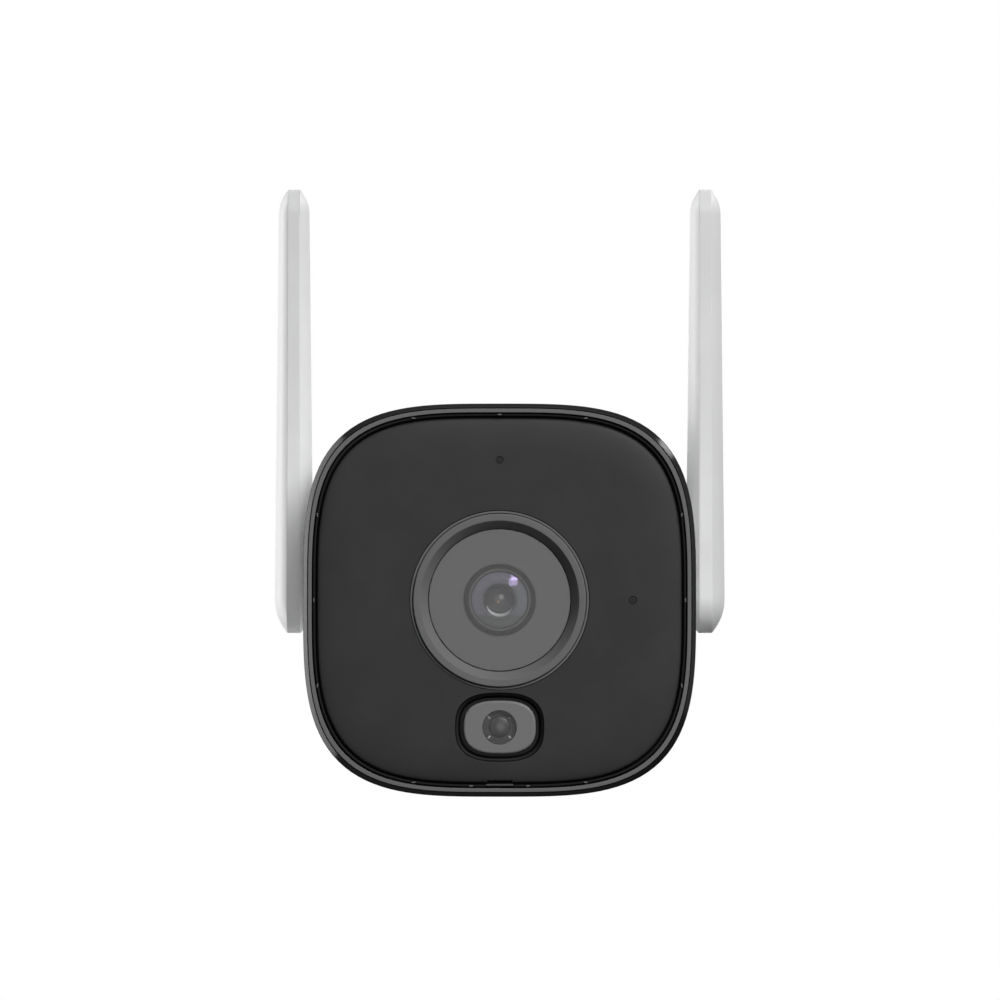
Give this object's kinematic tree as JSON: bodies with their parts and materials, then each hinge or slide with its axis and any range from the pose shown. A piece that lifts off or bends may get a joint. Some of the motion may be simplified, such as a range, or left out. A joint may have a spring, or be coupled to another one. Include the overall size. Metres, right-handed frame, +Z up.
{
  "type": "security camera",
  "caption": "Outdoor bullet camera with a rounded square face, lamp below the lens, fold-down side antennas and a three-axis wall bracket.",
  "frame": {"origin": "centre of the wall plate's back face, on the bracket's pan axis", "axes": "+Z up; +Y into the wall; the lens looks along -Y and its axis lies on the Y axis; +X to the right as the camera is faced from the front"},
  "size_m": [0.0982, 0.17, 0.1303],
  "materials": {
    "white_plastic": "satin white moulded plastic",
    "bezel_plastic": "dark grey semi-gloss plastic",
    "panel_plastic": "dark grey satin plastic",
    "window_glass": "clear front window",
    "lens_glass": "coated lens glass",
    "lamp_cover": "frosted lamp window",
    "black_plastic": "matt black plastic",
    "lamp_emitter": "phosphor of the lamp's emitter",
    "steel": "zinc-plated steel",
    "aluminium": "extruded aluminium",
    "rubber": "black silicone rubber",
    "circuit_board": "green glass-fibre board",
    "chip": "moulded chip",
    "coil": "enamelled copper winding in a steel frame"
  },
  "bodies": {
    "wall": {"wall_plate": "white_plastic"},
    "pan_ring": {"pan_ring": "white_plastic"},
    "arm": {"pan_arm": "white_plastic", "tilt_bolt": "steel", "tilt_nut": "steel"},
    "link": {"tilt_link": "white_plastic"},
    "camera_body": {"front_bezel": "bezel_plastic", "front_panel": "panel_plastic", "lens_ring": "panel_plastic", "lens_window": "window_glass", "lens_shroud": "black_plastic", "lamp_window": "lamp_cover", "lamp_lens": "window_glass", "lamp_led": "lamp_emitter", "lamp_board": "circuit_board", "microphone": "steel", "status_light_pipe": "window_glass", "lens_barrel": "black_plastic", "front_lens_element": "lens_glass", "rear_lens_element": "lens_glass", "lens_holder": "black_plastic", "filter_solenoid": "coil", "image_sensor": "chip", "sensor_board": "circuit_board", "inner_frame": "black_plastic", "main_board": "circuit_board", "processor": "chip", "heat_sink": "aluminium", "main_board_screw_1": "steel", "main_board_screw_2": "steel", "front_screw_1": "steel", "front_screw_2": "steel", "front_screw_3": "steel", "front_screw_4": "steel", "rear_screw_1": "steel", "rear_screw_2": "steel", "rear_screw_3": "steel", "rear_screw_4": "steel", "main_housing": "white_plastic", "front_seal": "rubber", "rear_seal": "rubber", "rear_cap": "white_plastic", "cable_gland": "rubber", "card_cover": "white_plastic", "card_cover_seal": "rubber", "card_cover_screw_1": "steel", "card_cover_screw_2": "steel", "card_board": "circuit_board", "speaker": "black_plastic"},
    "roll_ring": {"roll_ring": "white_plastic"},
    "left_antenna": {"left_antenna_shell": "white_plastic", "left_antenna_cover": "white_plastic", "left_antenna_board": "circuit_board", "left_antenna_spindle": "black_plastic"},
    "right_antenna": {"right_antenna_shell": "white_plastic", "right_antenna_cover": "white_plastic", "right_antenna_board": "circuit_board", "right_antenna_spindle": "black_plastic"},
    "reset_button": {"reset_button": "black_plastic"},
    "ir_filter": {"ir_filter": "lens_glass"}
  },
  "joints": [
    {"name": "pan_ring_turn", "type": "hinge", "parent": "wall", "child": "pan_ring", "pos_m": [0, -0.0105, 0], "axis": [0, 1, 0], "range_deg": [0, 90]},
    {"name": "pan", "type": "hinge", "parent": "wall", "child": "arm", "pos_m": [0, -0.0105, 0], "axis": [0, 1, 0], "range_deg": [-180, 180]},
    {"name": "tilt", "type": "hinge", "parent": "arm", "child": "link", "pos_m": [0, -0.05, 0], "axis": [1, 0, 0], "range_deg": [0, 90]},
    {"name": "roll", "type": "hinge", "parent": "link", "child": "camera_body", "pos_m": [0, -0.066, 0], "axis": [0, 1, 0], "range_deg": [-180, 180]},
    {"name": "roll_ring_turn", "type": "hinge", "parent": "camera_body", "child": "roll_ring", "pos_m": [0, -0.0645, 0], "axis": [0, 1, 0], "range_deg": [0, 90]},
    {"name": "left_antenna_fold", "type": "hinge", "parent": "camera_body", "child": "left_antenna", "pos_m": [-0.0448, -0.108, 0], "axis": [1, 0, 0], "range_deg": [-90, 45]},
    {"name": "right_antenna_fold", "type": "hinge", "parent": "camera_body", "child": "right_antenna", "pos_m": [0.0448, -0.108, 0], "axis": [1, 0, 0], "range_deg": [-90, 45]},
    {"name": "reset_button_press", "type": "slide", "parent": "camera_body", "child": "reset_button", "axis": [0, 0, 1], "range_m": [0, 0.0005], "stiffness_N_per_m": 400},
    {"name": "ir_filter_slide", "type": "slide", "parent": "camera_body", "child": "ir_filter", "axis": [1, 0, 0], "range_m": [0, 0.0075]}
  ]
}
